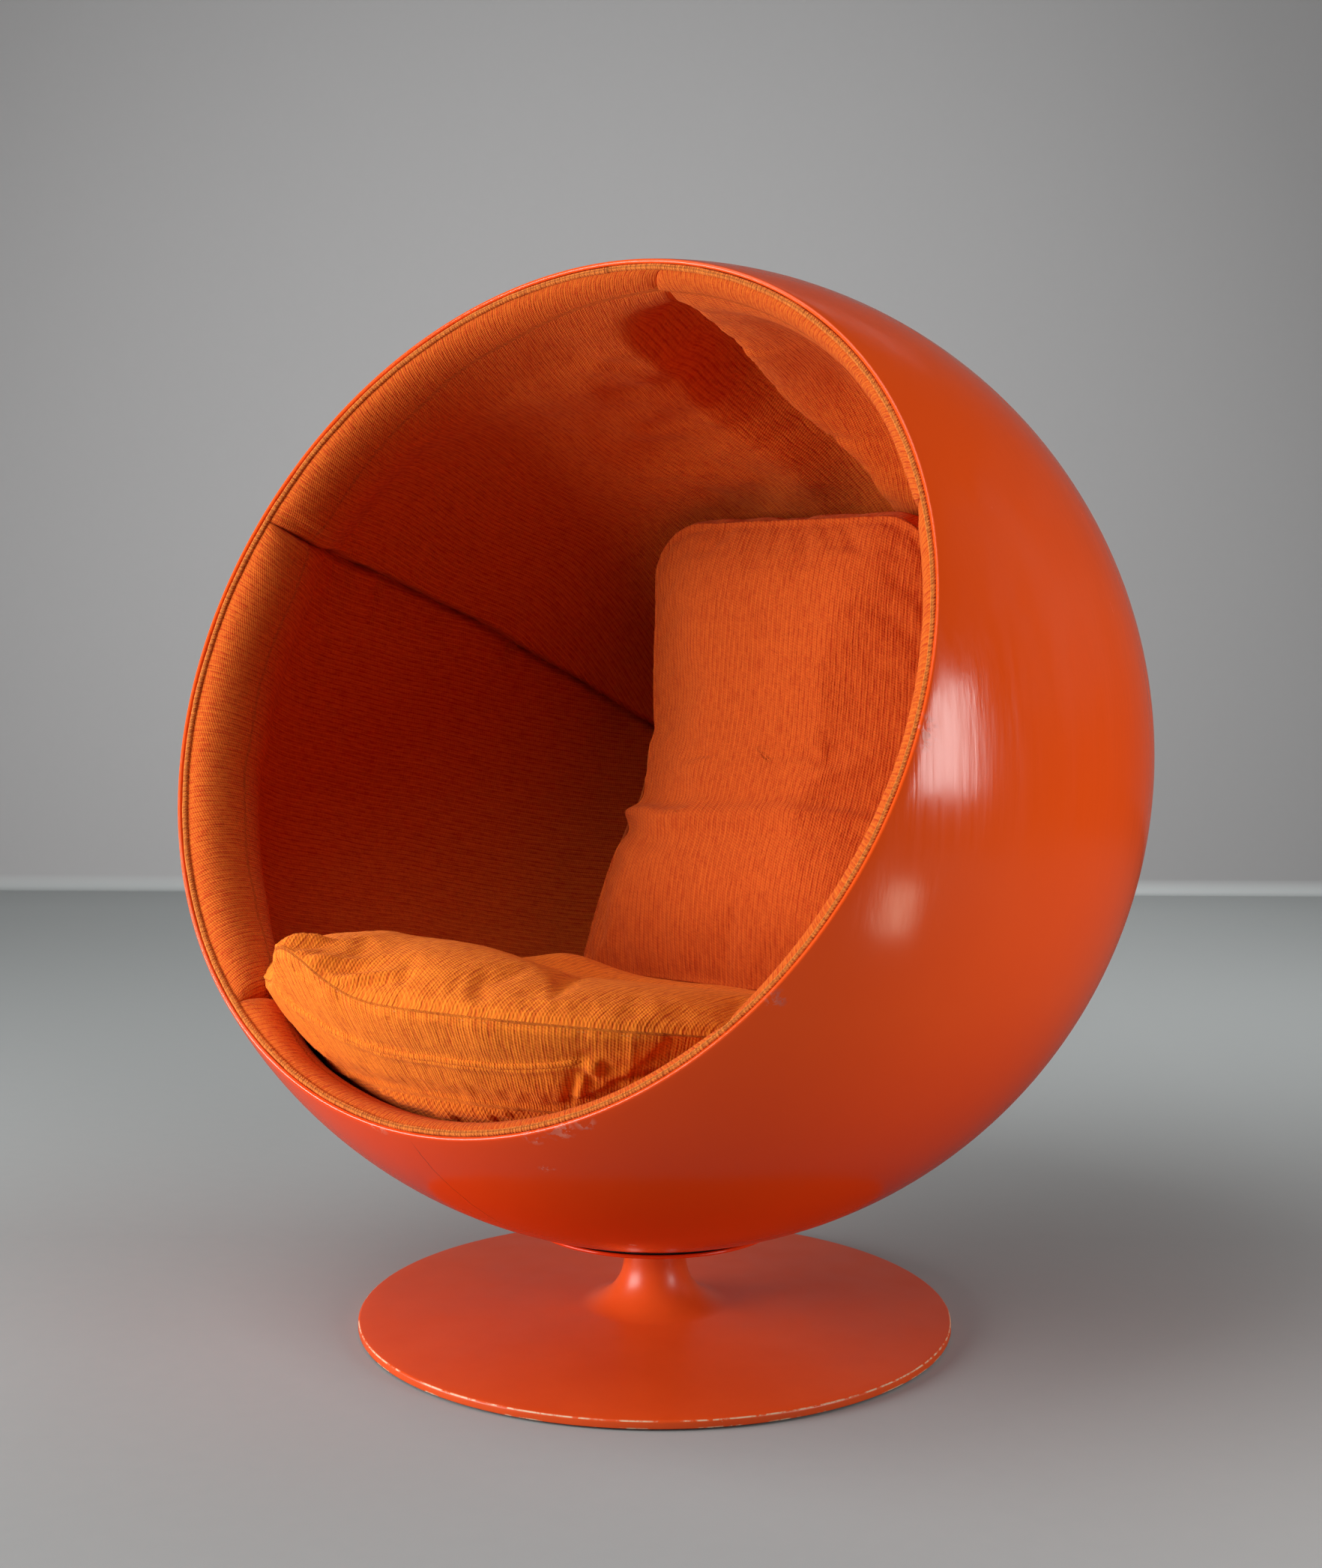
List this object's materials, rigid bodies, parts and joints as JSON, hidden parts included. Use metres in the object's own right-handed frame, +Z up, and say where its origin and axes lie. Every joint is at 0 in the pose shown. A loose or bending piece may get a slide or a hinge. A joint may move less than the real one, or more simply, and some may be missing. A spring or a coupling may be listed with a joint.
{
  "type": "lounge chair",
  "caption": "Ball-shaped lounge chair: a moulded shell with a round slanted opening, padded inside, with loose cushions, turning on a flat round foot.",
  "frame": {"origin": "on the floor, at the middle of the foot's underside, on the swivel axis", "axes": "+Z up along the swivel axis, the opening faces -Y, +X to the right of someone who looks into the chair"},
  "size_m": [1.0992, 0.9989, 1.2],
  "materials": {
    "lacquer": "gloss",
    "foot_enamel": "satin",
    "cloth": "matte",
    "piping": "matte",
    "foam": "matte",
    "steel": "satin",
    "black_steel": "satin",
    "nylon": "satin",
    "rubber": "matte"
  },
  "bodies": {
    "foot": {"foot_casting": "foot_enamel", "floor_mat": "rubber", "ballast_plate": "black_steel", "ballast_screw_1": "steel", "ballast_screw_2": "steel", "ballast_screw_3": "steel", "ballast_screw_4": "steel", "ballast_screw_5": "steel", "ballast_screw_6": "steel", "post_tube": "steel", "upper_bush": "nylon", "lower_bush": "nylon", "lower_race": "black_steel", "ball_cage": "steel"},
    "pod": {"ball_shell": "lacquer", "rim_piping": "piping", "lining_upper_right": "cloth", "lining_side_right": "cloth", "lining_bottom": "cloth", "lining_side_left": "cloth", "lining_upper_left": "cloth", "seat_cushion": "cloth", "back_cushion": "cloth", "seat_foam_block": "foam", "flange_dish": "lacquer", "flange_gasket": "rubber", "inner_plate": "steel", "flange_bolt_1": "steel", "flange_bolt_2": "steel", "flange_bolt_3": "steel", "flange_bolt_4": "steel", "flange_bolt_5": "steel", "flange_bolt_6": "steel", "bolt_washer_1": "steel", "bolt_washer_2": "steel", "bolt_washer_3": "steel", "bolt_washer_4": "steel", "bolt_washer_5": "steel", "bolt_washer_6": "steel", "spindle": "black_steel", "upper_race": "black_steel", "lock_washer": "steel", "lock_nut": "steel"}
  },
  "joints": [
    {"name": "swivel", "type": "hinge", "parent": "foot", "child": "pod", "pos_m": [0, 0, 0.06], "axis": [0, 0, 1], "continuous": true}
  ]
}
